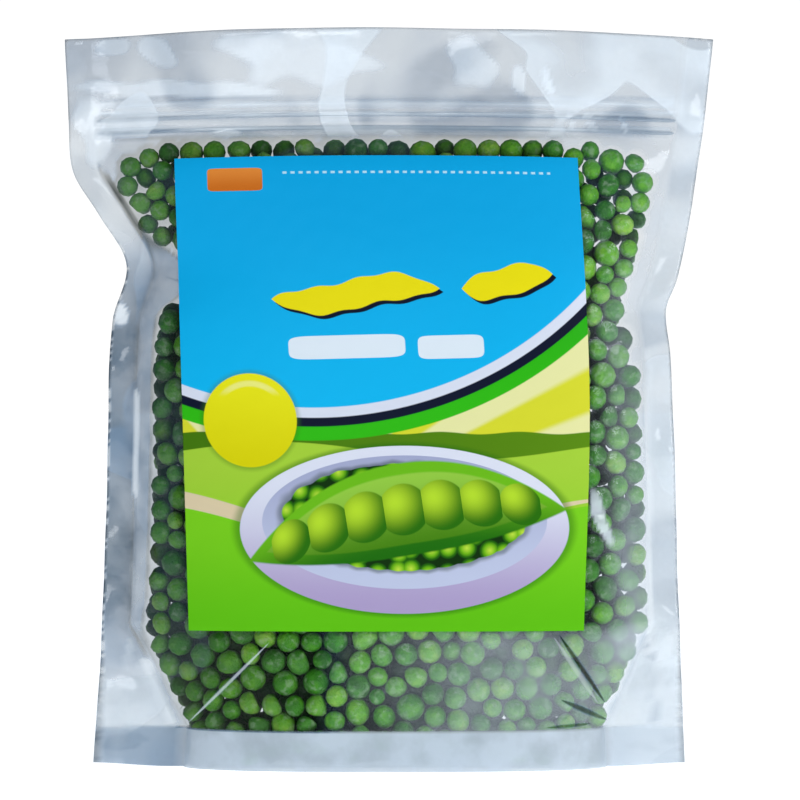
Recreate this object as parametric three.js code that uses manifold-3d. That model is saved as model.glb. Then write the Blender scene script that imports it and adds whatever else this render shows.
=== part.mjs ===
// A clear stand-up pouch full of frozen peas, standing on its gusseted base, with a printed label on its front.
// Millimetres, +Z up, the front faces -Y, and the origin is on the floor under the middle of the pouch.
import * as THREE from "three";
import { mergeVertices } from "three/addons/utils/BufferGeometryUtils.js";
import Module from "manifold-3d";

// The pouch as a whole
const HEIGHT = 295; // floor to the middle of the top edge
const FILM = 0.8; // both plies of film where they are sealed together, thickened so that they hold as a solid
const SIDE_SEAL = 11; // width of the flat seal down each side
const FOOT_SEALS = { [-1]: 36, 1: 31 }; // its width at the floor, left and right, with the gusset's corners
const FOOT_SEAL_TOP = 57; // height where the wide corner seals begin
const SKIRT = 16; // height of the sealed band that the pouch stands on

// Height and distance from the middle, for the film's two side edges
const LEFT_EDGE = [
  [0, 118.3], [60, 114.6], [130, 112.4], [178, 110.8], [201, 105],
  [222, 116], [240, 126.4], [260, 128.2], [295, 129.6],
];
const RIGHT_EDGE = [
  [0, 118.3], [60, 116], [120, 114.3], [165, 112.6], [183, 110.8],
  [195, 115], [215, 119.4], [250, 124.6], [295, 129.6],
];

// Height and half the thickness of the filled part, along the middle of the pouch
const FILL_TOP = 255;
const FILL_DEPTH = [
  [0, 24], [16, 24.8], [50, 25.6], [100, 24.8], [150, 22.2], [200, 17.6], [230, 13], [242, 10.4],
  [248, 7.2], [252, 3.6], [FILL_TOP, 0],
];
const SHOULDER_DROP = 5; // how much lower the fill ends beside the seals than in the middle
const SECTION_POWER = 2.7; // roundness of the level section: 2 is an ellipse, more is boxier

// The press-to-close strip between the plies
const ZIP_BOTTOM = 253;
const ZIP_TOP = 267;
const ZIP_FLANGE = 0.35; // how far the strip's flange stands out of the film
const ZIP_RIBS = [260.6, 255.4]; // heights of its two locking ribs
const RIB_RELIEF = 1.1; // how far a rib stands out
const RIB_HALF = 0.9; // half the height of a rib
const ZIP_STEP = 0.4; // height over which an edge of the strip steps out

// How the empty film above the fill lies
const TOP_ARCH = 5; // how much lower the corners of the top edge are than its middle
const TOP_BOW = 5; // how far the middle of the top edge leans forward
const TOP_RIPPLE = 2.2;
const FIN_RIPPLE = 1.6;
const FOOT_LIFT = 1.5; // how far the bottom corners clear the floor

// Peas pressed against the film
const PEA = 8.8;
const PEA_RELIEF = 1.5;

// Folds that run up and inwards from the corners of the base, as [x, z] at the foot and at the far end
const BASE_FOLDS = [
  [[-83, 19], [-36, 66]],
  [[85, 19], [52, 74]],
];
const FOLD_DEPTH = 1.8;
const FOLD_HALF_WIDTH = 4.5;

// The groove under the base, between the skirt and the belly of the gusset
const BELLY_HALF_DEPTH = 13; // half the depth of the flat that the belly rests on
const GROOVE_END = 0.93; // share of the base's half width where the groove runs out

// The label, as distances from the middle at its top, middle and bottom
const LABEL_TOP = 243.6;
const LABEL_BOTTOM = 55.4;
const LABEL_LEFT = [-85.4, -82, -79];
const LABEL_RIGHT = [75, 79.4, 77];
const LABEL_THICKNESS = 0.5;
const LABEL_GAP = 0.4;
const LABEL_MARGIN = 8; // the film is smooth this far round the label

// How finely the surfaces are divided
const BODY_COLUMNS = 40;
const SEAL_COLUMNS = 3;
const BODY_ROWS = 32;
const LABEL_COLUMNS = 24;
const LABEL_ROWS = 28;

const FRONT = -1;
const BACK = 1;

const wasm = await Module();
wasm.setup();

const smooth = (from, to, value) => THREE.MathUtils.smoothstep(value, from, to);

// A smooth curve through [place, value] knots, as a function of place.
function through(knots) {
  const slope = (i) => {
    const before = knots[Math.max(i - 1, 0)];
    const after = knots[Math.min(i + 1, knots.length - 1)];
    return (after[1] - before[1]) / (after[0] - before[0]);
  };
  return (place) => {
    const last = knots.length - 2;
    let i = knots.findIndex((knot, k) => k > 0 && place <= knot[0]) - 1;
    if (i < 0) i = place <= knots[0][0] ? 0 : last;
    const [start, from] = knots[i];
    const span = knots[i + 1][0] - start;
    const t = THREE.MathUtils.clamp((place - start) / span, 0, 1);
    const rise = knots[i + 1][1] - from;
    const out = slope(i) * span;
    const into = slope(i + 1) * span;
    return from + t * (out + t * (3 * rise - 2 * out - into + t * (out + into - 2 * rise)));
  };
}

// Random numbers from 0 to 1 that are the same on each run.
function seeded(seed) {
  let state = seed;
  return () => {
    state = (state + 0x6d2b79f5) | 0;
    let mixed = Math.imul(state ^ (state >>> 15), 1 | state);
    mixed = (mixed + Math.imul(mixed ^ (mixed >>> 7), 61 | mixed)) ^ mixed;
    return ((mixed ^ (mixed >>> 14)) >>> 0) / 4294967296;
  };
}

const leftEdge = through(LEFT_EDGE);
const rightEdge = through(RIGHT_EDGE);
const fillDepth = through(FILL_DEPTH);

const edge = (side, z) => (side < 0 ? -leftEdge(z) : rightEdge(z));

// Where the side seal ends and the filled or open part of the pouch begins.
function seam(side, z) {
  const low = THREE.MathUtils.clamp((FOOT_SEAL_TOP - z) / (FOOT_SEAL_TOP - SKIRT), 0, 1);
  return edge(side, z) - side * THREE.MathUtils.lerp(SIDE_SEAL, FOOT_SEALS[side], low);
}

// How far the film's surface stands from the middle of the two plies at x and z.
function bulge(x, z) {
  const across = Math.min(Math.abs(x / seam(Math.sign(x) || 1, z)), 1);
  const level = z + SHOULDER_DROP * across ** 4 * smooth(120, 250, z);
  const depth = level < FILL_TOP ? Math.max(fillDepth(level), 0) : 0;
  return depth * Math.sqrt(1 - across ** SECTION_POWER);
}

// How far the closing strip stands out of the film at height z.
function zipRelief(z) {
  const flange = smooth(ZIP_BOTTOM, ZIP_BOTTOM + ZIP_STEP, z) - smooth(ZIP_TOP - ZIP_STEP, ZIP_TOP, z);
  const away = Math.min(...ZIP_RIBS.map((height) => Math.abs(z - height)));
  return ZIP_FLANGE * flange + RIB_RELIEF * (1 - smooth(RIB_HALF - ZIP_STEP, RIB_HALF + ZIP_STEP, away));
}

// How deep the folds beside the base are at x and z.
function foldDepth(x, z) {
  let deepest = 0;
  for (const [foot, far] of BASE_FOLDS) {
    const along = new THREE.Vector2(far[0] - foot[0], far[1] - foot[1]);
    const from = new THREE.Vector2(x - foot[0], z - foot[1]);
    const share = from.dot(along) / along.lengthSq();
    const away = Math.abs(from.cross(along)) / along.length();
    const fade = smooth(-0.1, 0.15, share) * (1 - smooth(0.5, 1, share));
    deepest = Math.max(deepest, fade * Math.exp(-((away / FOLD_HALF_WIDTH) ** 2)));
  }
  return FOLD_DEPTH * deepest;
}

// How far back the middle of the two plies lies from the pouch's middle plane: the loose film waves gently.
function middle(x, z) {
  const above = smooth(235, HEIGHT, z);
  const ripple = Math.sin(x / 23 + 0.6) + 0.5 * Math.sin(x / 10.5 - 1.1);
  const bow = 1 - (x / edge(1, z)) ** 2;
  const side = Math.sign(x) || 1;
  const out = smooth(0, SIDE_SEAL, side * (x - seam(side, z)));
  const fin = Math.sin(z / 12 + side) + 0.6 * Math.sin(z / 5.3);
  return above * (TOP_RIPPLE * ripple - TOP_BOW * bow) + FIN_RIPPLE * out * fin * smooth(0, 40, z);
}

// How much lower or higher than z the film lies, because the top edge arches and the bottom corners lift.
function shift(x, z) {
  const across = Math.abs(x) / edge(1, HEIGHT);
  const lift = FOOT_LIFT * smooth(0.68, 0.92, across) * (1 - smooth(0, 60, z));
  return lift - TOP_ARCH * across ** 2 * smooth(150, 330, z);
}

// A point of the pouch's front or back, out by the given distance from its film.
function surface(face, x, z, out = 0) {
  const zip = Math.abs(x) < Math.abs(seam(Math.sign(x) || 1, z)) ? zipRelief(z) : 0;
  const from = FILM / 2 + bulge(x, z) + zip - (z > SKIRT ? foldDepth(x, z) * smooth(2, 8, bulge(x, z)) : 0);
  return new THREE.Vector3(x, middle(x, z) + face * (from + out), z + shift(x, z));
}

// The label's side edge at height z: 0 is its left edge, 1 its right.
function labelEdge(side, z) {
  const [top, mid, bottom] = side ? LABEL_RIGHT : LABEL_LEFT;
  return through([[LABEL_BOTTOM, bottom], [(LABEL_TOP + LABEL_BOTTOM) / 2, mid], [LABEL_TOP, top]])(z);
}

// 1 where a pea may press out the film, 0 by the seals and under the label.
function peaRoom(face, x, z) {
  const deep = smooth(5, 14, bulge(x, z)) * smooth(SKIRT, SKIRT + 10, z);
  if (face === BACK) return deep;
  const beside = Math.max(labelEdge(0, z) - x, x - labelEdge(1, z));
  const above = Math.max(z - LABEL_TOP, LABEL_BOTTOM - z);
  return deep * smooth(LABEL_MARGIN - 1, LABEL_MARGIN + 1, Math.max(beside, above));
}

// A closed solid through rings of points, which go down the front and up the back. The end rings are closed flat.
function lofted(rings) {
  const count = rings[0].length;
  const index = [];
  for (let r = 0; r + 1 < rings.length; r++) {
    for (let i = 0; i < count; i++) {
      const next = (i + 1) % count;
      const [a, b, c, d] = [r * count + i, r * count + next, (r + 1) * count + next, (r + 1) * count + i];
      index.push(...((r + i) % 2 ? [a, b, d, b, c, d] : [a, b, c, a, c, d]));
    }
  }
  const start = (rings.length - 1) * count;
  for (let i = 0; i + 1 < count / 2; i++) {
    const [a, b, c, d] = [i, i + 1, count - 2 - i, count - 1 - i];
    index.push(a, c, b, a, d, c);
    index.push(start + a, start + b, start + c, start + a, start + c, start + d);
  }
  return new THREE.BufferGeometry().setFromPoints(rings.flat()).setIndex(index);
}

// The heights of the pouch's rows of points, from the top edge to the floor.
function rowHeights() {
  const loose = [HEIGHT, 286, 277, ZIP_TOP + 1];
  const rib = [RIB_HALF + ZIP_STEP, RIB_HALF - ZIP_STEP, ZIP_STEP - RIB_HALF, -ZIP_STEP - RIB_HALF];
  const ribs = ZIP_RIBS.flatMap((height) => rib.map((step) => height + step));
  const body = Array.from({ length: BODY_ROWS }, (_, i) =>
    THREE.MathUtils.lerp(ZIP_BOTTOM - 3, SKIRT + 1, i / (BODY_ROWS - 1)));
  const zip = [ZIP_TOP, ZIP_TOP - ZIP_STEP, ...ribs, ZIP_BOTTOM + ZIP_STEP, ZIP_BOTTOM];
  return [...loose, ...zip, ...body, SKIRT, SKIRT / 2, 0];
}

// Where column i crosses height z, from the left edge of the film to its right edge.
function columnPlace(i, z) {
  const last = BODY_COLUMNS + 2 * SEAL_COLUMNS;
  if (i < SEAL_COLUMNS) return THREE.MathUtils.lerp(edge(-1, z), seam(-1, z), i / SEAL_COLUMNS);
  if (i > last - SEAL_COLUMNS) return THREE.MathUtils.lerp(edge(1, z), seam(1, z), (last - i) / SEAL_COLUMNS);
  return THREE.MathUtils.lerp(seam(-1, z), seam(1, z), (i - SEAL_COLUMNS) / BODY_COLUMNS);
}

// The pouch before its base is hollowed. Every second point of the fill is a pea that presses the film out.
function pouchShell() {
  const heights = rowHeights();
  const random = seeded(7);
  const pressed = (face, i, row) => {
    const z = heights[row];
    const x = columnPlace(i, z);
    const room = peaRoom(face, x, z);
    const raise = (i + row) % 2 ? 0.15 * random() : 0.75 + 0.5 * random();
    const [slideX, slideZ] = [(random() - 0.5) * 0.22 * PEA * room, (random() - 0.5) * 0.22 * PEA * room];
    return surface(face, x + slideX, z + slideZ, PEA_RELIEF * raise * room);
  };
  const rings = Array.from({ length: BODY_COLUMNS + 2 * SEAL_COLUMNS + 1 }, (_, i) => {
    const front = heights.map((_, row) => pressed(FRONT, i, row));
    const back = heights.map((_, row) => pressed(BACK, i, row)).reverse();
    return [...front, ...back];
  });
  return lofted(rings);
}

// The space under the base between the skirt and the gusset's belly, on one face.
function baseGroove(face) {
  const wall = FILM;
  const below = -2;
  const curve = [0, 0.25, 0.5, 0.75, 1];
  const rings = Array.from({ length: BODY_COLUMNS - 3 }, (_, i) => {
    const share = THREE.MathUtils.lerp(-GROOVE_END, GROOVE_END, i / (BODY_COLUMNS - 4));
    const x = share * Math.abs(seam(Math.sign(share) || 1, 0));
    const skirt = Math.abs(surface(face, x, 0).y) - wall;
    const rest = Math.min(BELLY_HALF_DEPTH, skirt - 1) * Math.sqrt(1 - (share / GROOVE_END) ** 8 * 0.9);
    const top = THREE.MathUtils.lerp(SKIRT - 2, 1, (Math.abs(share) / GROOVE_END) ** 12);
    const belly = curve.map((t) => new THREE.Vector3(
      x, face * THREE.MathUtils.lerp(skirt, rest, t), top * (1 - Math.sin((t * Math.PI) / 2))));
    const foot = curve.map((t) => new THREE.Vector3(x, face * THREE.MathUtils.lerp(rest, skirt, t), below));
    return face === FRONT ? [...belly, ...foot] : [...belly, ...foot].reverse();
  });
  return lofted(rings);
}

// A manifold solid of a geometry, turned the right way out.
function solidOf(geometry) {
  const merged = mergeVertices(geometry, 1e-4);
  const make = (triVerts) => new wasm.Manifold(
    new wasm.Mesh({ numProp: 3, vertProperties: merged.attributes.position.array, triVerts }));
  const faces = new Uint32Array(merged.index.array);
  const solid = make(faces);
  return solid.volume() > 0 ? solid : make(faces.reverse());
}

function geometryOf(solid) {
  const { numProp, vertProperties, triVerts } = solid.getMesh();
  const points = Array.from({ length: vertProperties.length / numProp }, (_, i) =>
    new THREE.Vector3().fromArray(vertProperties, i * numProp));
  return new THREE.BufferGeometry().setFromPoints(points).setIndex(new THREE.BufferAttribute(triVerts, 1));
}

function pouch() {
  const grooves = solidOf(baseGroove(FRONT)).add(solidOf(baseGroove(BACK)));
  const hollowed = solidOf(pouchShell()).subtract(grooves);
  const film = new THREE.MeshStandardMaterial({ color: 0x8fb06a, roughness: 0.3, metalness: 0 });
  const mesh = new THREE.Mesh(geometryOf(hollowed), film);
  mesh.name = "pouch";
  return mesh;
}

function label() {
  const rings = Array.from({ length: LABEL_COLUMNS + 1 }, (_, i) => {
    const face = (out) => Array.from({ length: LABEL_ROWS + 1 }, (_, row) => {
      const z = THREE.MathUtils.lerp(LABEL_TOP, LABEL_BOTTOM, row / LABEL_ROWS);
      const x = THREE.MathUtils.lerp(labelEdge(0, z), labelEdge(1, z), i / LABEL_COLUMNS);
      return surface(FRONT, x, z, out);
    });
    return [...face(LABEL_GAP + LABEL_THICKNESS), ...face(LABEL_GAP).reverse()];
  });
  const print = new THREE.MeshStandardMaterial({ color: 0x2fb3e8, roughness: 0.35, metalness: 0 });
  const mesh = new THREE.Mesh(geometryOf(solidOf(lofted(rings))), print);
  mesh.name = "label";
  return mesh;
}

const bag = new THREE.Group();
bag.add(pouch(), label());

export default bag;
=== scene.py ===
"""A clear stand-up pouch full of frozen peas, with a printed label on its front, on a pale studio floor.

Lengths are in millimetres until a mesh is written in metres. The front faces -Y, and Z is up.
"""

import math

import bmesh
import bpy
import numpy as np
from mathutils import Euler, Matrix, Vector


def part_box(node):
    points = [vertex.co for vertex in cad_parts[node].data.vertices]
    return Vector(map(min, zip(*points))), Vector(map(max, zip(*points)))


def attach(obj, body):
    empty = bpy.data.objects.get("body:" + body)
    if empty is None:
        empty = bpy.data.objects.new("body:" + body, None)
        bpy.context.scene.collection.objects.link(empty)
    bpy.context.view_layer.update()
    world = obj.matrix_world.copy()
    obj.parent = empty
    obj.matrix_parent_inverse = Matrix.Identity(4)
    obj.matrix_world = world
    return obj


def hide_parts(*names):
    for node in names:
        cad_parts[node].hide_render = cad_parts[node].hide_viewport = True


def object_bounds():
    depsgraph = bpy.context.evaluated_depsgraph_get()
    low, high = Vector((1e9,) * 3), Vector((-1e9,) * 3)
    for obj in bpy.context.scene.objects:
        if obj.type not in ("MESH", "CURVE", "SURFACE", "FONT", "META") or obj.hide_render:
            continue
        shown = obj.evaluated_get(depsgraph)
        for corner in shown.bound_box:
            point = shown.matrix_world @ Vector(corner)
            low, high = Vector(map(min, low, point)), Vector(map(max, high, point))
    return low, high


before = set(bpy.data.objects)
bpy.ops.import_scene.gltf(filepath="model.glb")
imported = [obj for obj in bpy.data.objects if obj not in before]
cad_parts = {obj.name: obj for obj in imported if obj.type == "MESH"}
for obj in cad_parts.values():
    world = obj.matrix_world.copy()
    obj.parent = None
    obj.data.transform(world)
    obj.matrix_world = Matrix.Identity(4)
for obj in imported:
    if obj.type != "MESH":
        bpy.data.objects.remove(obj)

CAD_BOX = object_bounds()
MM = 0.001

# The pouch as a whole, as in the solids
HEIGHT = 1000 * CAD_BOX[1].z
SIDE_SEAL = 11
FOOT_SEALS = (36, 31)
FOOT_SEAL_TOP = 57
SKIRT = 16
LEFT_EDGE = (
    (0, 118.3), (60, 114.6), (130, 112.4), (178, 110.8), (201, 105),
    (222, 116), (240, 126.4), (260, 128.2), (295, 129.6),
)
RIGHT_EDGE = (
    (0, 118.3), (60, 116), (120, 114.3), (165, 112.6), (183, 110.8),
    (195, 115), (215, 119.4), (250, 124.6), (295, 129.6),
)
FILL_TOP = 255
FILL_DEPTH = (
    (0, 24), (16, 24.8), (50, 25.6), (100, 24.8), (150, 22.2), (200, 17.6), (230, 13), (242, 10.4),
    (248, 7.2), (252, 3.6), (FILL_TOP, 0),
)
SHOULDER_DROP = 5
# How far in from each side seal the plies cling together, with no peas between them
LEFT_CLING = (
    (0, 0), (45, 2), (70, 5.5), (180, 6), (188, 13), (193, 17), (199, 15), (206, 6), (212, 1), (225, 0),
)
RIGHT_CLING = ((0, 0), (160, 0), (178, 3), (190, 6), (215, 5), (235, 4), (HEIGHT, 2))
SECTION_POWER = 2.7
ZIP_BOTTOM, ZIP_TOP = 253, 267
ZIP_RIBS = (260.6, 255.4)
RIB_RELIEF = 1.1
RIB_HALF = 0.9
TOP_ARCH = 5
TOP_BOW = 5
TOP_RIPPLE = 2.2
FIN_RIPPLE = 1.6
FOOT_LIFT = 1.5
BELLY_HALF_DEPTH = 13
LABEL_BOTTOM, LABEL_TOP = (1000 * corner.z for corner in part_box("label"))
LABEL_LEFT = (-79, -82, -85.4)
LABEL_RIGHT = (77, 79.4, 75)
LABEL_WIDTH = LABEL_RIGHT[1] - LABEL_LEFT[1]
LABEL_HEIGHT = LABEL_TOP - LABEL_BOTTOM

# The film
PLY_GAP = 0.35  # between the middles of the two plies where they are sealed
SEAL_COLUMNS = 8
BODY_COLUMNS = 176
FILM_ROWS = 216
LABEL_PAPER = 0.2

# The peas
PEA_RADIUS = 4.75
PEA_SPREAD = 0.5  # standard deviation of the radius
PEA_LEAST, PEA_MOST = 3.7, 5.9
PEAS = 2300  # about as many as 1 kg has
CORNER_PEAS = 20  # of these, how many start in each upper corner
CORNER_MOST = 4.2  # and their largest radius
PEA_CLEAR = 0.5  # least gap between a pea and the film
SEAM_CLEAR = 1.5  # and between a pea and a side seal
FILL_LEVEL = 251  # the highest that a pea reaches
SETTLING_STEPS = 200
FILM_SAG = 0.9  # how far the film sinks in between the peas that it touches

random = np.random.default_rng(11)


# Numbers

def smooth(start, end, value):
    t = np.clip((value - start) / (end - start), 0, 1)
    return t * t * (3 - 2 * t)


def through(knots):
    """A smooth curve through (place, value) knots, as a function of place."""
    places, values = np.array(knots, float).T
    slopes = np.empty(len(places))
    for i in range(len(places)):
        before, after = max(i - 1, 0), min(i + 1, len(places) - 1)
        slopes[i] = (values[after] - values[before]) / (places[after] - places[before])

    def curve(place):
        i = np.clip(np.searchsorted(places, place) - 1, 0, len(places) - 2)
        span = places[i + 1] - places[i]
        t = np.clip((place - places[i]) / span, 0, 1)
        rise = values[i + 1] - values[i]
        out, into = slopes[i] * span, slopes[i + 1] * span
        return values[i] + t * (out + t * (3 * rise - 2 * out - into + t * (out + into - 2 * rise)))

    return curve


# The pouch's form

left_edge, right_edge, fill_depth = through(LEFT_EDGE), through(RIGHT_EDGE), through(FILL_DEPTH)
left_cling, right_cling = through(LEFT_CLING), through(RIGHT_CLING)
label_edges = [through(tuple(zip((LABEL_BOTTOM, (LABEL_BOTTOM + LABEL_TOP) / 2, LABEL_TOP), side)))
               for side in (LABEL_LEFT, LABEL_RIGHT)]


def edge(side, z):
    return np.where(side < 0, -left_edge(z), right_edge(z))


def seam(side, z):
    """Where the side seal ends and the filled part begins."""
    low = np.clip((FOOT_SEAL_TOP - z) / (FOOT_SEAL_TOP - SKIRT), 0, 1)
    foot = np.where(side < 0, *FOOT_SEALS)
    return edge(side, z) - side * (SIDE_SEAL + (foot - SIDE_SEAL) * low)


def side_of(x):
    return np.where(x < 0, -1, 1)


def bulge(x, z):
    """How far the film stands from the middle of the two plies."""
    across = np.minimum(np.abs(x / seam(side_of(x), z)), 1)
    level = z + SHOULDER_DROP * across**4 * smooth(120, 250, z)
    depth = np.where(level < FILL_TOP, np.maximum(fill_depth(level), 0), 0)
    return depth * np.sqrt(1 - across**SECTION_POWER)


def middle(x, z):
    """How far back the middle of the two plies lies: the loose film waves gently."""
    above = smooth(235, HEIGHT, z)
    ripple = np.sin(x / 23 + 0.6) + 0.5 * np.sin(x / 10.5 - 1.1)
    bow = 1 - (x / edge(1, z)) ** 2
    side = side_of(x)
    out = smooth(0, SIDE_SEAL, side * (x - seam(side, z)))
    fin = np.sin(z / 12 + side) + 0.6 * np.sin(z / 5.3)
    return above * (TOP_RIPPLE * ripple - TOP_BOW * bow) + FIN_RIPPLE * out * fin * smooth(0, 40, z)


def shift(x, z):
    """How much higher the film lies than z: the top edge arches and the bottom corners lift."""
    across = np.abs(x) / edge(1, HEIGHT)
    lift = FOOT_LIFT * smooth(0.68, 0.92, across) * (1 - smooth(0, 60, z))
    return lift - TOP_ARCH * across**2 * smooth(150, 330, z)


def zip_relief(x, z):
    away = np.min([np.abs(z - height) for height in ZIP_RIBS], axis=0)
    inside = smooth(0, 2, np.abs(seam(side_of(x), z)) - np.abs(x))
    return RIB_RELIEF * inside * (1 - smooth(RIB_HALF - 0.4, RIB_HALF + 0.4, away))


# Peas

def room(centres):
    """How far each point is from the film, and the direction away from it, to the first order."""
    x, y, z = centres.T
    step = 0.5
    here = bulge(x, z)
    slope_x = (bulge(x + step, z) - bulge(x - step, z)) / (2 * step)
    slope_z = (bulge(x, z + step) - bulge(x, z - step)) / (2 * step)
    inward = np.stack([slope_x, -side_of(y), slope_z], 1)
    steepness = np.linalg.norm(inward, axis=1)
    return (here - np.abs(y)) / steepness, inward / steepness[:, None]


def belly(x, y):
    """The height of the gusset's film."""
    share = np.minimum(np.abs(x) / np.abs(seam(side_of(x), 0 * x)), 1)
    skirt = np.maximum(bulge(x, 0 * x), 1)
    rest = np.minimum(BELLY_HALF_DEPTH, skirt - 1)
    out = np.clip((np.abs(y) - rest) / np.maximum(skirt - rest, 0.5), 0, 1)
    return 0.8 + (SKIRT - 1.5) * (1 - np.sin((1 - out) * math.pi / 2)) * (1 - share**12)


def scattered(count, least_room, low, high):
    """Points inside the pouch at random, between two corners of a box."""
    points = np.empty((0, 3))
    while len(points) < count:
        tries = random.uniform(low, high, (4 * count, 3))
        points = np.concatenate([points, tries[room(tries)[0] > least_room]])
    return points[:count]


def settled_peas():
    """Centres and radii of peas that fill the pouch up to its film.

    Neighbours press into each other a little, by 0.3 mm on average and 1.3 mm at the most.
    """
    radii = np.clip(random.normal(PEA_RADIUS, PEA_SPREAD, PEAS), PEA_LEAST, PEA_MOST)
    radii[-2 * CORNER_PEAS:] = np.minimum(radii[-2 * CORNER_PEAS:], CORNER_MOST)
    centres = np.concatenate([
        scattered(PEAS - 2 * CORNER_PEAS, 0.45 * PEA_RADIUS, (-118, -26, 4), (118, 26, FILL_LEVEL)),
        scattered(CORNER_PEAS, 2, (-110, -9, 210), (-88, 9, 247)),
        scattered(CORNER_PEAS, 2, (88, -9, 210), (110, 9, 247)),
    ])
    for step in range(SETTLING_STEPS):
        if step % 8 == 0:
            squares = (centres**2).sum(1)
            apart = squares[:, None] + squares - 2 * centres @ centres.T
            first, second = np.nonzero(np.triu(apart < 13.5**2, 1))
        between = centres[second] - centres[first]
        distance = np.maximum(np.linalg.norm(between, axis=1), 0.1)
        overlap = np.maximum(radii[first] + radii[second] - distance, 0)
        push = between * (0.42 * overlap / distance)[:, None]
        for axis in range(3):
            along = push[:, axis]
            centres[:, axis] += np.bincount(second, along, PEAS) - np.bincount(first, along, PEAS)
        near, inward = room(centres)
        centres += inward * np.maximum(radii + PEA_CLEAR - near, 0)[:, None]
        near, inward = room(centres)
        centres -= inward * (0.1 * (near < 2 * radii))[:, None]
        floor = belly(centres[:, 0], centres[:, 1]) + radii + PEA_CLEAR
        centres[:, 2] = np.clip(centres[:, 2], floor, FILL_LEVEL - radii)
        low = seam(-1, centres[:, 2]) + left_cling(centres[:, 2]) + radii + SEAM_CLEAR
        high = seam(1, centres[:, 2]) - right_cling(centres[:, 2]) - radii - SEAM_CLEAR
        centres[:, 0] = np.clip(centres[:, 0], low, high)
    for _ in range(3):
        near, inward = room(centres)
        centres += inward * np.maximum(radii + PEA_CLEAR - near, 0)[:, None]
    kept = (room(centres)[0] > radii) & (centres[:, 2] + radii < FILL_LEVEL + 1)
    centres[:, 1] += middle(centres[:, 0], centres[:, 2])
    centres[:, 2] += shift(centres[:, 0], centres[:, 2])
    return centres[kept], radii[kept]


# Meshes

def new_piece(name, mesh, look, replaced=None):
    """A finished piece of the pouch with its material."""
    piece = bpy.data.objects.new(name, mesh)
    bpy.context.collection.objects.link(piece)
    mesh.materials.append(look)
    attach(piece, "root")
    if replaced:
        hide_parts(replaced)
    return piece


def written(built, name):
    mesh = bpy.data.meshes.new(name)
    built.to_mesh(mesh)
    built.free()
    for polygon in mesh.polygons:
        polygon.use_smooth = True
    return mesh


def points_of(mesh):
    points = np.empty(3 * len(mesh.vertices))
    mesh.vertices.foreach_get("co", points)
    return points.reshape(-1, 3)


def move_points(mesh, points):
    """Puts the mesh's vertices at points in millimetres."""
    mesh.vertices.foreach_set("co", (points * MM).ravel())
    mesh.update()


def add_values(mesh, name, values):
    mesh.attributes.new(name, "FLOAT", "POINT").data.foreach_set("value", np.asarray(values, np.float32))


def sheet(name, columns, rows, place):
    """A grid whose corners are set by place(u, v), both from 0 to 1, which returns points in millimetres."""
    built = bmesh.new()
    built.loops.layers.uv.new("place")
    bmesh.ops.create_grid(built, x_segments=columns, y_segments=rows, size=0.5, calc_uvs=True)
    mesh = written(built, name)
    u, v, _ = points_of(mesh).T + 0.5
    move_points(mesh, place(u, v))
    return mesh


def film_x(u, z):
    """Where the column at share u of the film crosses height z."""
    last = BODY_COLUMNS + 2 * SEAL_COLUMNS
    i = u * last
    left, right = seam(-1, z), seam(1, z)
    body = left + (right - left) * (i - SEAL_COLUMNS) / BODY_COLUMNS
    left_seal = edge(-1, z) + (left - edge(-1, z)) * i / SEAL_COLUMNS
    right_seal = edge(1, z) + (right - edge(1, z)) * (last - i) / SEAL_COLUMNS
    return np.where(i < SEAL_COLUMNS, left_seal, np.where(i > last - SEAL_COLUMNS, right_seal, body))


def pressed_film(face, x, z, centres, radii, sag=FILM_SAG):
    """How far the film stands out at x and z, where it sinks in between the peas that touch it."""
    out = bulge(x, z)
    front = face * centres[:, 1] + radii > bulge(centres[:, 0], centres[:, 2]) - 3
    peas, sizes = centres[front], radii[front]
    near = np.zeros(len(x))
    for start in range(0, len(x), 4000):
        part = slice(start, start + 4000)
        away = (x[part, None] - peas[:, 0]) ** 2 + (z[part, None] - peas[:, 2]) ** 2
        near[part] = np.exp(-away / (0.62 * sizes**2)).max(1)
    return out - sag * smooth(6, 13, out) * smooth(SKIRT, SKIRT + 8, z) * (1 - near)


def film_panel(face, centres, radii):
    """The front or back of the pouch, down to the edge that it stands on."""
    def place(u, v):
        z = v * HEIGHT
        x = film_x(u if face < 0 else 1 - u, z)
        inside = np.minimum(edge(1, z) - x, x - edge(-1, z))
        gap = PLY_GAP / 2 * smooth(0, 1.5, inside) * smooth(0, 1.5, HEIGHT - z)
        out = gap + pressed_film(face, x, z, centres, radii) + zip_relief(x, z)
        for side, *line, rise, _, _ in SHARP_FOLDS + SOFT_FOLDS:
            if side == face:
                out = out + rise * along_fold(x, z, *line)
        return np.stack([x, middle(x, z) + face * out, z + shift(x, z)], 1)

    mesh = sheet("film", BODY_COLUMNS + 2 * SEAL_COLUMNS, FILM_ROWS, place)
    x, _, z = points_of(mesh).T / MM
    looks = film_looks(face, x, z, empty_film(x, z, centres, radii))
    for kind, values in zip(("haze", "shade", "loose"), looks):
        add_values(mesh, kind, values)
    return mesh


def film(centres, radii):
    """Both panels, welded to each other along the sides and the top."""
    built = bmesh.new()
    for face in (-1, 1):
        panel = film_panel(face, centres, radii)
        built.from_mesh(panel)
    bmesh.ops.remove_doubles(built, verts=built.verts, dist=0.02 * MM)
    return written(built, "film")


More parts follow.
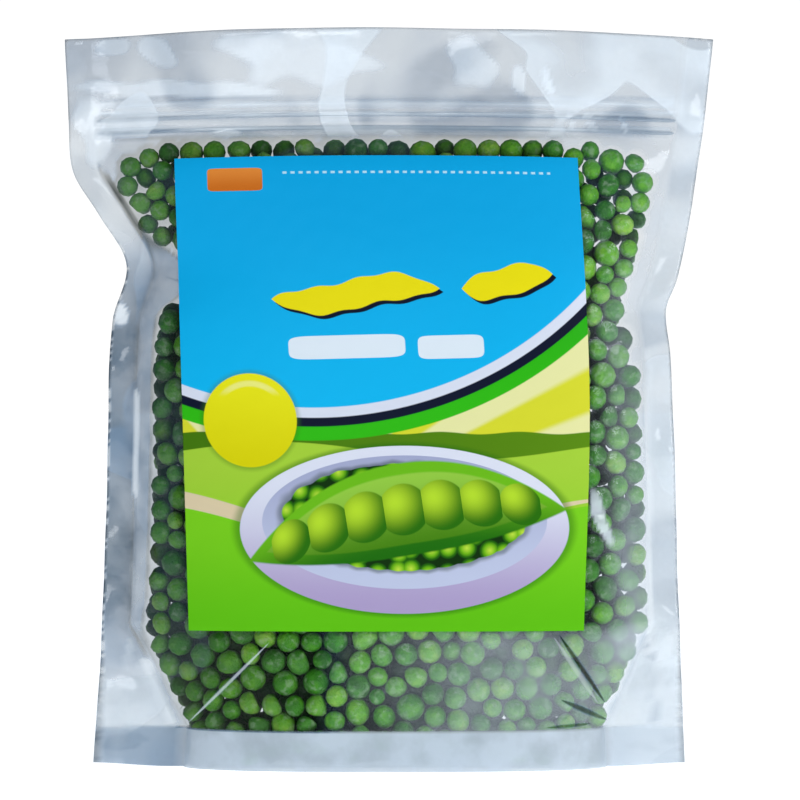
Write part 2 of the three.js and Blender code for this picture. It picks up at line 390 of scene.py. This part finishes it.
def gusset():
    """The film of the base, folded up inside the skirt with a belly that rests on the floor."""
    def place(u, v):
        x = np.interp(u, (0, 1), (seam(1, SKIRT) - 1, seam(-1, SKIRT) + 1))
        skirt = np.minimum(bulge(x, 0 * x), bulge(x, 0 * x + SKIRT)) - 0.2
        band = np.abs(2 * v - 1)
        y = np.sign(2 * v - 1) * np.where(band > 0.85, skirt, band / 0.85 * skirt)
        height = np.where(band > 0.85, SKIRT - (SKIRT - 1) * smooth(0.85, 1, band), belly(x, y) - 0.3)
        return np.stack([x, y, height + shift(x, 0 * x)], 1)

    return sheet("gusset", 90, 40, place)


def zip_rib(height):
    """One of the zip's ribs: a rod between the two plies, closed at both ends."""
    def place(u, v):
        x = np.interp(u, (0, 1), (seam(-1, height), seam(1, height)))
        radius = RIB_HALF * np.sqrt(1 - np.abs(2 * u - 1) ** 60)
        turn = -2 * math.pi * v
        y = middle(x, 0 * x + height) + radius * np.cos(turn)
        return np.stack([x, y, height + radius * np.sin(turn) + shift(x, 0 * x + height)], 1)

    built = bmesh.new()
    built.from_mesh(sheet("zip_rib", 180, 10, place))
    bmesh.ops.remove_doubles(built, verts=built.verts, dist=0.01 * MM)
    return written(built, "zip_rib")


def pea_template(subdivisions):
    built = bmesh.new()
    bmesh.ops.create_icosphere(built, subdivisions=subdivisions, radius=1)
    return written(built, "pea")


def painted_heap_shade(points):
    """The painted shade of a pea's points: 0 by the film and 1 well inside the heap, where little light comes."""
    x, y, z = points.T
    level = z - shift(x, z)
    return smooth(2, 8, bulge(x, level) - np.abs(y - middle(x, level)))


def pea_heap(name, template, reshape, centres, radii):
    """Every pea of one kind as one mesh, each turned at random, with its own tone."""
    unit = points_of(template)
    faces = np.array([polygon.vertices for polygon in template.polygons])
    points = np.empty((len(centres), len(unit), 3))
    for i, (centre, radius) in enumerate(zip(centres, radii)):
        turn = np.array(Euler(random.uniform(0, 2 * math.pi, 3)).to_matrix())
        points[i] = centre + radius * reshape(unit) @ turn.T
    mesh = bpy.data.meshes.new(name)
    every = (faces + len(unit) * np.arange(len(centres))[:, None, None]).reshape(-1, 3)
    mesh.from_pydata((points.reshape(-1, 3) * MM).tolist(), [], every.tolist())
    mesh.polygons.foreach_set("use_smooth", np.ones(len(mesh.polygons), bool))
    add_values(mesh, "tone", np.repeat(random.uniform(0, 1, len(centres)), len(unit)))
    add_values(mesh, "depth", painted_heap_shade(points.reshape(-1, 3)))
    return mesh


def round_pea(unit):
    return unit * random.uniform(0.94, 1.04, 3)


def oval_pea(unit):
    return unit * (random.uniform(1.0, 1.08), random.uniform(0.86, 0.94), random.uniform(0.88, 0.98))


def dented_pea(unit):
    """A pea with two shallow dents."""
    shape = unit * random.uniform(0.95, 1.05, 3)
    for _ in range(2):
        centre = random.normal(0, 1, 3)
        centre /= np.linalg.norm(centre)
        near = smooth(0.45, 1, unit @ centre)
        shape -= centre * (0.26 * near)[:, None]
    return shape


def split_pea(unit):
    """A pea whose skin has opened along a slit."""
    slit = np.exp(-(unit[:, 0] / 0.13) ** 2) * smooth(-0.3, 0.3, unit[:, 2])
    return unit * (1 - 0.22 * slit)[:, None]


KINDS = (
    ("peas_round", 2, round_pea, 0.5),
    ("peas_dented", 2, dented_pea, 0.28),
    ("peas_oval", 2, oval_pea, 0.19),
    ("peas_split", 3, split_pea, 0.03),
)


# Materials

class Wire:
    """An output of a shader node. Python's operators on it add Math nodes."""

    def __init__(self, look, socket):
        self.look, self.socket = look, socket

    def math(self, operation, *values, clamp=False):
        return self.look.add("Math", {"operation": operation, "use_clamp": clamp}, *values)

    def __add__(self, other):
        return self.math("ADD", self, other)

    def __sub__(self, other):
        return self.math("SUBTRACT", self, other)

    def __mul__(self, other):
        return self.math("MULTIPLY", self, other)

    def __truediv__(self, other):
        return self.math("DIVIDE", self, other)

    def __pow__(self, other):
        return self.math("POWER", self, other)

    def __rsub__(self, other):
        return self.math("SUBTRACT", other, self)

    __radd__, __rmul__ = __add__, __mul__

    def above(self, start, end):
        """0 below start and 1 above end, smoothly."""
        return self.look.add("MapRange", {"interpolation_type": "SMOOTHSTEP"},
                             **{"Value": self, "From Min": start, "From Max": end})

    def least(self, other):
        return self.math("MINIMUM", self, other)

    def most(self, other):
        return self.math("MAXIMUM", self, other)

    def of(self, operation):
        return self.math(operation, self)

    def size(self):
        return self.of("ABSOLUTE")


class Look:
    """A material and the nodes in it."""

    def __init__(self, name):
        self.material = bpy.data.materials.new(name)
        self.material.use_nodes = True
        self.tree = self.material.node_tree
        self.tree.nodes.clear()

    def add(self, kind, settings=None, *places, output=0, **inputs):
        """A node with its settings, its sockets by place or name, and one of its outputs as a wire."""
        node = self.tree.nodes.new("ShaderNode" + kind)
        for key, value in (settings or {}).items():
            if key == "stops":
                set_stops(node.color_ramp, value)
            else:
                setattr(node, key, value)
        for key, value in [*enumerate(places), *inputs.items()]:
            if isinstance(value, Wire):
                self.tree.links.new(value.socket, node.inputs[key])
            elif value is not None:
                node.inputs[key].default_value = value
        return Wire(self, node.outputs[output]) if len(node.outputs) else node

    def attribute(self, name):
        return self.add("Attribute", {"attribute_name": name}, output="Fac")

    def place(self):
        return self.add("TexCoord", output="Object")

    def noise(self, scale, detail=2.0, vector=None, **more):
        return self.add("TexNoise", None, Vector=vector or self.place(), Scale=scale, Detail=detail, **more)

    def blend(self, factor, first, second):
        """A mix of two colours."""
        paints = [paint if isinstance(paint, Wire) else (*colour(paint), 1) for paint in (first, second)]
        unused = [None] * 5
        return self.add("Mix", {"data_type": "RGBA"}, factor, *unused, *paints, output=2)

    def bump(self, height, strength, distance):
        return self.add("Bump", None, Height=height, Strength=strength, Distance=distance)

    def finish(self, shader):
        self.add("OutputMaterial", None, Surface=shader)
        return self.material


def set_stops(ramp, stops):
    while len(ramp.elements) < len(stops):
        ramp.elements.new(0.5)
    for element, (position, shade) in zip(ramp.elements, stops):
        element.position = position
        element.color = (*colour(shade), 1)


def colour(shade):
    """Linear red, green and blue of a colour given as eight-bit values."""
    return tuple((value / 255) ** 2.2 for value in shade)


def pea_look(name, pale):
    """Frozen peas: each its own green, mottled and frosted, with fine wrinkles in the skin, and painted shade on
    those deep in the heap.
    """
    look = Look(name)
    tone = look.attribute("tone")
    mottle = look.noise(260, 3).above(0.35, 0.7)
    greens = look.add("ValToRGB", {"stops": (
        (0, (42, 108, 22)), (0.35, (72, 156, 34)), (0.7, (118, 196, 48)), (1, (170, 222, 84)))},
        Fac=tone * 0.75 + mottle * 0.25)
    frost = look.noise(330, 3).above(0.5, 0.68) * 0.34 + pale * 0.05
    skin = look.blend(frost, greens, (200, 222, 190))
    # Painted shade: peas deep in the heap darken toward a dark green
    skin = look.blend(look.attribute("depth") * 0.9, skin, (5, 38, 24))
    wrinkle = look.noise(900, 4) + look.noise(300, 2) * 0.7
    shader = look.add("BsdfPrincipled", None, **{
        "Base Color": skin, "Roughness": 0.3 + 0.3 * mottle, "Specular IOR Level": 0.35,
        "Subsurface Weight": 0.12, "Subsurface Radius": (0.0012, 0.0022, 0.0006), "Subsurface Scale": 1.0,
        "Normal": look.bump(wrinkle, 0.7, 0.0012)})
    return look.finish(shader)


def film_look(name):
    """Clear film: see-through, glossy, and milky where it is creased, sealed or frosted inside, with painted
    reflections and painted shade in its milkiness and colour.
    """
    look = Look(name)
    cloud = look.noise(60, 4).above(0.3, 0.75)
    loose = look.attribute("loose")
    bend = look.noise(19, 1.2, Distortion=0.35)
    # Painted reflections: bright glints and dim patches on the loose film, drawn from noise into its milkiness and
    # shade
    painted_glint = bend.above(0.52, 0.535) * (1 - bend.above(0.56, 0.72)) * loose
    painted_dim = (1 - bend.above(0.4, 0.47)) * loose
    milk = look.attribute("haze") * (0.8 + 0.35 * cloud) + painted_glint * 0.24 + painted_dim * 0.09
    shade = look.attribute("shade") * (1 - painted_glint) + painted_dim * 0.22
    split = look.add("SeparateXYZ", None, look.place())
    x, y, z = (Wire(look, socket) / MM for socket in split.socket.node.outputs)
    front = 1 - y.above(-1, 0)
    # Pale fold lines are partly whitened crease and partly painted highlight; dark ones are painted shade
    for face, (x0, z0), (x1, z1), half_width, _, pale, dark in SHARP_FOLDS:
        length = math.hypot(x1 - x0, z1 - z0)
        share = ((x - x0) * (x1 - x0) + (z - z0) * (z1 - z0)) / length**2
        away = ((x - x0) * (z1 - z0) - (z - z0) * (x1 - x0)).size() / length
        taper = 1 - (share * 2 - 1).size() ** 2.5
        shown = front if face < 0 else 1 - front
        line = shown * (1 - (away / half_width).above(0.3 * taper, 0.1 + 1.1 * taper)) * taper.above(0, 0.1)
        milk = milk + (pale - milk) * line
        shade = shade + (dark - shade) * line
    milk = milk.least(0.92)
    facing = look.add("LayerWeight", None, Blend=0.35, output="Facing")
    gloss = 0.012 + 0.36 * facing**3
    plastic = look.add("BsdfPrincipled", None, **{
        "Base Color": look.add("ValToRGB", {"stops": (
            (0, (228, 238, 247)), (0.5, (116, 140, 165)), (1, (12, 34, 18)))}, Fac=shade),
        "Metallic": gloss / (gloss + milk), "Roughness": 0.08,
        "Normal": look.bump(look.noise(22, 2) + look.noise(90, 2) * 0.12, 0.6, 0.004)})
    clear = look.add("BsdfTransparent", None, Color=(0.86, 0.875, 0.885, 1))
    return look.finish(look.add("MixShader", None, (milk + gloss).least(0.97), clear, plastic))


def label_look():
    """The label's print: a blue field over green hills, and an open pod of peas on a plate."""
    look = Look("label_print")
    place = look.add("UVMap", {"uv_map": "place"})
    split = look.add("SeparateXYZ", None, place)
    x = split * LABEL_WIDTH
    y = Wire(look, split.socket.node.outputs[1]) * LABEL_HEIGHT

    def within(distance, soft=0.25):
        return 1 - distance.above(-soft, soft)

    def from_point(across, up, wide=1.0, high=1.0):
        return (((x - across) / wide) ** 2 + ((y - up) / high) ** 2) ** 0.5

    def turned(across, up, degrees):
        """Distances along and across a line through a point."""
        turn = math.radians(degrees)
        along = (x - across) * math.cos(turn) + (y - up) * math.sin(turn)
        return along, (y - up) * math.cos(turn) - (x - across) * math.sin(turn)

    def painted(shade, mask, paint):
        return look.blend(mask, shade, paint)

    # Sky with rays, hedge, hills and path
    angle = look.add("Math", {"operation": "ARCTAN2"}, y - 40, x - 40)
    rays = (angle * 26).of("SINE").above(-0.3, 0.3)
    shade = look.blend(rays, (221, 222, 52), (238, 237, 168))
    hedge = within(y - 78 - (x / 5).of("SINE") * 0.5)
    shade = painted(shade, hedge, look.blend((x / 162), (70, 120, 14), (92, 140, 20)))
    hill = y - 71 - (x / 24).of("SINE") * 3.5
    hill_green = look.blend((y / 75).above(0.1, 0.95), (118, 205, 24), (168, 212, 62))
    shade = painted(shade, within(hill), hill_green)
    near_hill = y - 44 - (x / 31 + 2.2).of("SINE") * 9
    path = (near_hill + 1).size() - 4.5 * (1 - x / 190)
    shade = painted(shade, within(path), (226, 208, 170))
    near_green = look.blend((y / 50).above(0.0, 0.9), (98, 196, 20), (124, 210, 34))
    shade = painted(shade, within(near_hill + 3), near_green)

    # The blue field and the bands round it
    sweep = from_point(52, 238) - 150
    band_green = look.blend((y / 190).above(0.4, 0.9), (52, 190, 24), (34, 160, 20))
    shade = painted(shade, within(sweep - 13), band_green)
    shade = painted(shade, within(sweep - 7.5), (18, 26, 48))
    shade = painted(shade, within(sweep - 4), (222, 228, 244))
    field_blue = look.blend((y / 190).above(0.35, 0.95), (16, 188, 246), (14, 168, 230))
    shade = painted(shade, within(sweep), field_blue)

    # Two yellow brush strokes over their shadows, and two white bars
    for across, up, length in ((70, 133, 34), (130, 138, 19)):
        for slip, paint in ((1.4, (12, 22, 44)), (0, (240, 226, 20))):
            along, beside = turned(across + slip, up - slip, 5)
            wave = (along / 9).of("SINE") * 1.6
            ragged = (along * 0.4 + up).of("SINE") * 0.5
            taper = 6.4 * (1 - (along / length).size() ** 4).most(0) - 0.8
            shade = painted(shade, within((beside - wave).size() - taper - ragged), paint)
    for across, length in ((66, 23), (107, 13)):
        along, beside = turned(across, 112, 1.5)
        bar = (along / length).size() ** 8 + (beside / 4.6).size() ** 5
        shade = painted(shade, within(bar - 1, 0.06), (228, 240, 250))

    # A plate with an open pod of peas on it
    plate = from_point(88, 40, 1.0, 0.5) - 66
    shade = painted(shade, within(plate - 2.5, 2.2) * 0.55, (40, 110, 16))
    rim = look.blend((y / 60).above(0.15, 1.0), (176, 160, 204), (226, 230, 246))
    shade = painted(shade, within(plate), rim)
    dish = from_point(88, 43, 1.0, 0.46) - 57
    dish_blue = look.blend((y / 80).above(0.2, 0.9), (196, 204, 232), (166, 172, 206))
    shade = painted(shade, within(dish), dish_blue)
    flat = look.add("CombineXYZ", None, x, y)
    cells = look.add("TexVoronoi", {"voronoi_dimensions": "2D"}, Vector=flat, Scale=1 / 7.5, Randomness=0.5)
    small_peas = look.add("ValToRGB", {"stops": (
        (0, (196, 230, 70)), (0.3, (112, 184, 26)), (0.46, (44, 112, 12)), (0.58, (16, 52, 8)))}, Fac=cells)
    heap = from_point(88, 45, 1.0, 0.43) - 50 + cells * 3
    shade = painted(shade, within(heap - 2.5, 2) * 0.6, (60, 76, 70))
    shade = painted(shade, within(heap, 0.4), small_peas)
    along, beside = turned(88, 45, 9)
    droop = beside + (along / 60) ** 2 * 9 - 3
    pod = droop.size() - 19 * (1 - (along / 66).size() ** 2.2).most(0) + 0.8
    pod_green = look.blend((droop / 18).above(-0.9, 0.5), (34, 110, 12), (110, 190, 30))
    shade = painted(shade, within(pod, 0.5), pod_green)
    opening = droop.size() - 14.5 * (1 - (along / 58).size() ** 2.4).most(0) + 0.8
    inner_green = look.blend((droop / 14).above(-1, 1), (74, 134, 20), (150, 205, 70))
    shade = painted(shade, within(opening, 0.5), inner_green)
    step = look.add("Math", {"operation": "ROUND"}, along / 15.5)
    ball_x = along - step * 15.5
    radius = 10.2 - (step * 0.55) ** 2 * 0.7
    ball = (ball_x**2 + droop**2) ** 0.5 / radius
    inside = within(ball - 1, 0.03) * within(step.size() - 3.5)
    lit = (((ball_x + 3) ** 2 + (droop - 3.4) ** 2) ** 0.5 / radius).above(0.0, 1.35)
    shade = painted(shade, inside, look.blend(lit, (186, 226, 50), (44, 112, 10)))

    # A yellow disc and an orange tag
    disc = from_point(27, 83) - 18.5
    shade = painted(shade, within(disc - 1.2, 1.4) * 0.4, (60, 110, 20))
    disc_yellow = look.blend((y / 110).above(0.55, 0.95), (222, 214, 0), (240, 236, 30))
    shade = painted(shade, within(disc), disc_yellow)
    gleam = ((from_point(27, 83) - 14.5).size() - 1.1).above(-0.5, 0.5)
    shade = painted(shade, (1 - gleam) * (y - 92).above(0, 4) * 0.7, (246, 246, 150))
    tag = ((x - 24) / 11).size() ** 10 + ((y - 179) / 4.6).size() ** 10
    tag_orange = look.blend((y / 190).above(0.92, 0.97), (206, 110, 34), (232, 140, 60))
    shade = painted(shade, within(tag - 1, 0.15), tag_orange)
    dash = (x / 3.2).of("FRACT").above(0.4, 0.6) * within((y - 181.5).size() - 0.45, 0.15)
    shade = painted(shade, dash * (x - 42).above(0, 0.3) * within(x - 150), (190, 232, 250))

    wave = look.noise(9, 2) + look.noise(40, 2) * 0.12
    shader = look.add("BsdfPrincipled", None, **{
        "Base Color": look.blend(0.1, shade, (0, 0, 0)), "Roughness": 0.34 + 0.12 * look.noise(60, 3),
        "Specular IOR Level": 0.08, "Normal": look.bump(wave, 0.5, 0.004)})
    return look.finish(shader)


def rib_look():
    """The zip's milky plastic."""
    look = Look("zip_plastic")
    grain = look.noise(120, 2)
    plastic = look.add("BsdfPrincipled", None, **{
        "Base Color": look.blend(grain, (176, 194, 214), (222, 232, 240)), "Roughness": 0.2})
    clear = look.add("BsdfTransparent", None, Color=(0.88, 0.89, 0.895, 1))
    return look.finish(look.add("MixShader", None, 0.35 + grain * 0.2, clear, plastic))


def floor_look():
    look = Look("floor")
    grain = look.noise(3, 2)
    shade = look.blend(grain, (250, 251, 252), (244, 246, 248))
    shader = look.add("BsdfPrincipled", None, **{
        "Base Color": shade, "Roughness": 0.7, "Emission Color": shade, "Emission Strength": 0.92})
    return look.finish(shader)


# The film's milkiness, and its painted shade, which goes from 0, pale, to 1, the green of deep shade

# Folds: face, start x and z, end x and z, half width, how far they stand out, milkiness, shade.
# Pale folds are partly the film's whitened crease and partly a painted highlight; dark ones are painted shade in
# the crease.
# The sharp ones are drawn in the material, and the soft ones are set at the film's points.
SHARP_FOLDS = (
    (-1, (-80, 18), (-47, 51), 0.9, 1.0, 0.45, 0),
    (-1, (67, 54), (86, 26), 1.3, 0, 0.8, 1),
    (-1, (65, 53), (83, 26), 1.2, 0.8, 0.4, 0),
    (-1, (68, 28), (87, 19), 1.4, 0, 0.7, 0.95),
    (-1, (62, 17), (80, 18), 0.9, 0, 0.5, 0.9),
    (1, (-84, 22), (-58, 60), 1.2, 0.8, 0.5, 0),
    (1, (86, 20), (50, 48), 1.2, 0.9, 0.5, 0),
    (1, (96, 182), (52, 158), 1.3, 0.9, 0.45, 0),
    (1, (-90, 196), (-40, 180), 1.3, 0.9, 0.45, 0),
)
SOFT_FOLDS = (
    (-1, (-98, 43), (-87, 17), 2.2, 1.0, 0.55, 0),
    (-1, (-103, 51), (-109, 20), 1.6, 0.8, 0.4, 0.35),
    (-1, (-109, 20), (-109.5, 1), 1.6, 0.8, 0.35, 0.35),
    (-1, (104, 50), (106.5, 18), 1.5, 0.8, 0.3, 0.35),
    (-1, (-101, 150), (-101, 108), 1.2, 0.4, 0.6, 0),
    (-1, (103.5, 165), (104.5, 45), 1.2, 0.4, 0.45, 0),
    (1, (-86, 203), (-30, 214), 1.6, 0.7, 0.35, 0),
)

# Painted reflections: patches where the loose film is painted white as if turned to the light: middle x and z,
# half width, half height
PAINTED_GLARE = (
    (-36, 284, 27, 11), (-110, 287.5, 7, 4), (-92, 286, 7, 6), (-88, 270.5, 40, 3.4), (33, 280, 9, 10),
    (52, 274, 3, 6), (63.6, 273, 1.8, 5), (72.4, 257, 1.4, 4), (80.4, 257, 2, 4), (93.6, 257, 1.2, 4),
    (-119, 256, 6, 15), (-107.5, 180, 3, 4.5), (84, 99, 2.6, 10), (111, 45, 4, 13),
)

# Lines along the zip, painted highlights on its ribs and painted shade beneath them: height, milkiness, shade
ZIP_LINES = (
    (266.6, 0.45, 0.34), (264.4, 0.6, 0), (260.6, 0.7, 0), (258.4, 0.4, 0.34), (254.6, 0.75, 0), (252.4, 0.4, 0.3),
)


def along_fold(x, z, start, end, half_width):
    """1 on the fold's line, fading to 0 beside it and at its ends."""
    (x0, z0), (x1, z1) = start, end
    length = math.hypot(x1 - x0, z1 - z0)
    share = ((x - x0) * (x1 - x0) + (z - z0) * (z1 - z0)) / length**2
    away = np.abs((x - x0) * (z1 - z0) - (z - z0) * (x1 - x0)) / length
    return np.exp(-((away / half_width) ** 2)) * smooth(-0.08, 0.1, share) * (1 - smooth(0.9, 1.08, share))


def empty_film(x, z, centres, radii):
    """1 where no pea lies behind the film, 0 where one does."""
    gap = np.empty(len(x))
    for start in range(0, len(x), 4000):
        part = slice(start, start + 4000)
        away = np.hypot(x[part, None] - centres[:, 0], z[part, None] - centres[:, 2])
        gap[part] = (away - radii).min(1)
    return smooth(-1.6, 2.2, gap)


def film_looks(face, x, z, empty):
    """The milkiness and painted shade of the film at x and z of one face, with painted reflections, and how loose
    it is, which sets how strongly the painted glints show.
    """
    side = side_of(x)
    to_seam = side * (seam(side, z) - x)
    sealed = 1 - smooth(-1.5, 0.5, to_seam)
    header = smooth(249, 256, z)
    skirt = 1 - smooth(SKIRT - 1, SKIRT + 0.5, z)
    body = (1 - sealed) * (1 - header) * (1 - skirt)
    haze = 0.004 * body + 0.24 * header + 0.2 * sealed * (1 - header)
    haze = np.maximum(haze, 0.86 * skirt)
    # Painted grey-blue shade on the header and the skirt, darker on the skirt's left
    shade = 0.1 + 0.18 * header + 0.12 * skirt * (1 - 0.7 * smooth(20, 110, x))
    loose = header + 0.7 * sealed * (1 - header) * (1 - 0.6 * skirt) + (0.1 if face < 0 else 0.3) * body
    if face < 0:
        cling = np.where(x < 0, left_cling(z), right_cling(z)) + 1.5
        clung = body * (1 - smooth(0.8 * cling, cling + 1.5, to_seam))
        clung = clung * smooth(40, 60, z) * (1 - smooth(225, 240, z))
        left_strip = clung * (x < 0)
        empty = empty * body * (1 - left_strip)
        # Painted shade: the film over the peas is darkened toward deep green at the left and along the top, less
        # so to the right
        left_painted_shade = body * (1 - clung) * (1 - smooth(-85, -60 * smooth(50, 80, z), x)) * (1 - empty)
        top_painted_shade = body * smooth(200, 225, z) * (1 - left_painted_shade) * (1 - empty)
        top_painted_shade = top_painted_shade * (1 - 0.85 * smooth(20, 90, x))
        # Milky film on the right and low right: partly the film's haze and partly a painted reflection of the
        # light on that side
        right_milk_and_sheen = body * (1 - empty) * (1 - smooth(8, 24, to_seam)) * (x > 0) * smooth(30, 60, z)
        right_milk_and_sheen = right_milk_and_sheen * (1 - smooth(185, 215, z)) * (1 - 0.5 * smooth(70, 130, z))
        low_right_milk_and_sheen = body * smooth(-25, 50, x) * (1 - smooth(50, 60, z))
        haze = haze + 0.7 * left_strip + 0.34 * left_painted_shade + 0.3 * top_painted_shade
        haze = haze + 0.32 * right_milk_and_sheen + 0.27 * low_right_milk_and_sheen
        # Where no pea lies behind, the clinging plies turn milky, with painted shade that darkens toward the left,
        # and darker on the left strip
        haze = haze + 0.42 * empty
        toward_right = smooth(-100, 100, x)
        shade = shade + 0.52 * left_strip + (0.36 - 0.2 * toward_right) * empty
        shade = shade + (1 - shade) * smooth(0.02, 0.3, left_painted_shade + top_painted_shade)
        # Painted shade: the left seal is made a darker grey-blue, and the right seal paler, as light falls from
        # the right
        left_seal = sealed * (x < 0) * (1 - smooth(185, 230, z)) * (0.3 + 0.7 * smooth(20, 70, z))
        haze = haze + 0.6 * left_seal
        shade = shade + 0.58 * left_seal
        loose = loose * (1 - 0.7 * left_seal)
        haze = haze + 0.3 * sealed * (x > 0)
        # Painted reflections: each patch turns the film white and clears its shade
        for across, up, half_width, half_height in PAINTED_GLARE:
            away = x - across + 0.3 * (z - up) + 0.22 * half_width * np.sin(z / 2.7 + across)
            rise = z - up + 0.2 * half_height * np.sin(x / 4.3 + up)
            patch = 1 - smooth(0.6, 1.4, np.abs(away / half_width) ** 3 + np.abs(rise / half_height) ** 2)
            haze = haze + (0.66 - haze) * patch
            shade = shade * (1 - patch)
    # Soft folds: pale lines partly whitened crease and partly painted highlight, darker ones painted shade
    for side, *line, _, milk, dark in SOFT_FOLDS:
        if side == face:
            line = along_fold(x, z, *line)
            haze = haze + (milk - haze) * line * (milk > haze)
            shade = shade + (dark - shade) * smooth(0.1, 0.5, line)
    # Painted highlights and painted shade along the zip's ribs
    for height, milk, dark in ZIP_LINES:
        line = np.exp(-(((z - height) / 0.9) ** 2)) * smooth(0, 3, to_seam)
        haze = haze + (milk - haze) * line
        shade = shade + (dark - shade) * line
    return haze, np.clip(shade, 0, 1), loose


# The part

centres, radii = settled_peas()
kinds = random.choice(len(KINDS), len(centres), p=[share for *_, share in KINDS])
templates = {level: pea_template(level) for level in {kind[1] for kind in KINDS}}
for number, (name, level, reshape, _) in enumerate(KINDS):
    mine = kinds == number
    mesh = pea_heap(name, templates[level], reshape, centres[mine], radii[mine])
    new_piece(name, mesh, pea_look(name, number % 2))
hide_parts("pouch")

clear_film = film_look("clear_film")
new_piece("film", film(centres, radii), clear_film, "pouch")

mesh = gusset()
for kind, value in (("haze", 0.2), ("shade", 0.2), ("loose", 0)):
    add_values(mesh, kind, np.full(len(mesh.vertices), value))
new_piece("gusset", mesh, clear_film, "pouch")


rib_plastic = rib_look()
for number, height in enumerate(ZIP_RIBS):
    new_piece(f"zip_rib_{number + 1}", zip_rib(height), rib_plastic, "pouch")


def label_sheet():
    """The label, a little proud of the film, with the thickness of its paper."""
    def place(u, v):
        z = LABEL_BOTTOM + LABEL_HEIGHT * v
        x = label_edges[0](z) + (label_edges[1](z) - label_edges[0](z)) * u
        out = PLY_GAP / 2 + pressed_film(-1, x, z, centres, radii, 0.12) + 0.15 + LABEL_PAPER
        return np.stack([x, middle(x, z) - out, z + shift(x, z)], 1)

    built = bmesh.new()
    built.from_mesh(sheet("label_sheet", 81, 94, place))
    bmesh.ops.solidify(built, geom=built.faces, thickness=LABEL_PAPER * MM)
    for rim in built.edges:
        rim.smooth = rim.calc_face_angle(0) < 1
    return written(built, "label_sheet")


new_piece("label_sheet", label_sheet(), label_look(), "label")


# The stage

def floor():
    built = bmesh.new()
    bmesh.ops.create_grid(built, x_segments=2, y_segments=2, size=40)
    piece = bpy.data.objects.new("floor", written(built, "floor"))
    bpy.context.collection.objects.link(piece)
    piece.data.materials.append(floor_look())


def softbox(name, place, aim, width, height, power, tint=(1, 1, 1)):
    light = bpy.data.lights.new(name, "AREA")
    light.shape, light.size, light.size_y = "RECTANGLE", width, height
    light.energy, light.color = power, tint
    piece = bpy.data.objects.new(name, light)
    piece.location = place
    piece.rotation_euler = (Vector(aim) - Vector(place)).to_track_quat("-Z", "Y").to_euler()
    bpy.context.collection.objects.link(piece)


def surroundings():
    """A grey-blue room that the camera sees as white."""
    world = bpy.data.worlds.new("room")
    bpy.context.scene.world = world
    world.use_nodes = True
    tree = world.node_tree
    tree.nodes.clear()
    path = tree.nodes.new("ShaderNodeLightPath")
    room_light, backdrop = (tree.nodes.new("ShaderNodeBackground") for _ in range(2))
    room_light.inputs["Color"].default_value = (0.55, 0.63, 0.72, 1)
    room_light.inputs["Strength"].default_value = 0.4
    backdrop.inputs["Color"].default_value = (1, 1, 1, 1)
    backdrop.inputs["Strength"].default_value = 1.05
    mix = tree.nodes.new("ShaderNodeMixShader")
    output = tree.nodes.new("ShaderNodeOutputWorld")
    tree.links.new(path.outputs["Is Camera Ray"], mix.inputs[0])
    tree.links.new(room_light.outputs[0], mix.inputs[1])
    tree.links.new(backdrop.outputs[0], mix.inputs[2])
    tree.links.new(mix.outputs[0], output.inputs[0])


# The camera: the photograph is 800 pixels wide at 0.4 mm a pixel, with the pouch's middle at (389, 766)
PIXEL = 0.4
MIDDLE_X, FLOOR_Y = 389, 766
DISTANCE = 1450


def camera():
    data = bpy.data.cameras.new("camera")
    data.sensor_width = 36
    data.lens = 36 * DISTANCE / (800 * PIXEL)
    piece = bpy.data.objects.new("camera", data)
    piece.location = Vector(((400 - MIDDLE_X) * PIXEL, -DISTANCE, (FLOOR_Y - 400) * PIXEL)) * MM
    piece.rotation_euler = (math.pi / 2, 0, 0)
    bpy.context.collection.objects.link(piece)
    bpy.context.scene.camera = piece


floor()
surroundings()
softbox("key", (1.25, -1.35, 0.95), (0, 0, 0.15), 0.7, 0.7, 12, (1, 0.99, 0.97))
softbox("fill", (-1.3, -1.2, 0.6), (0, 0, 0.15), 0.6, 1.2, 0.5, (0.92, 0.96, 1))
softbox("top", (0, 0.3, 1.8), (0, 0, 0.1), 1.2, 1.2, 2)
softbox("front", (-0.15, -1.8, 0.58), (0, 0, 0.27), 0.6, 0.22, 2)
camera()

bpy.context.scene.view_settings.view_transform = "Standard"
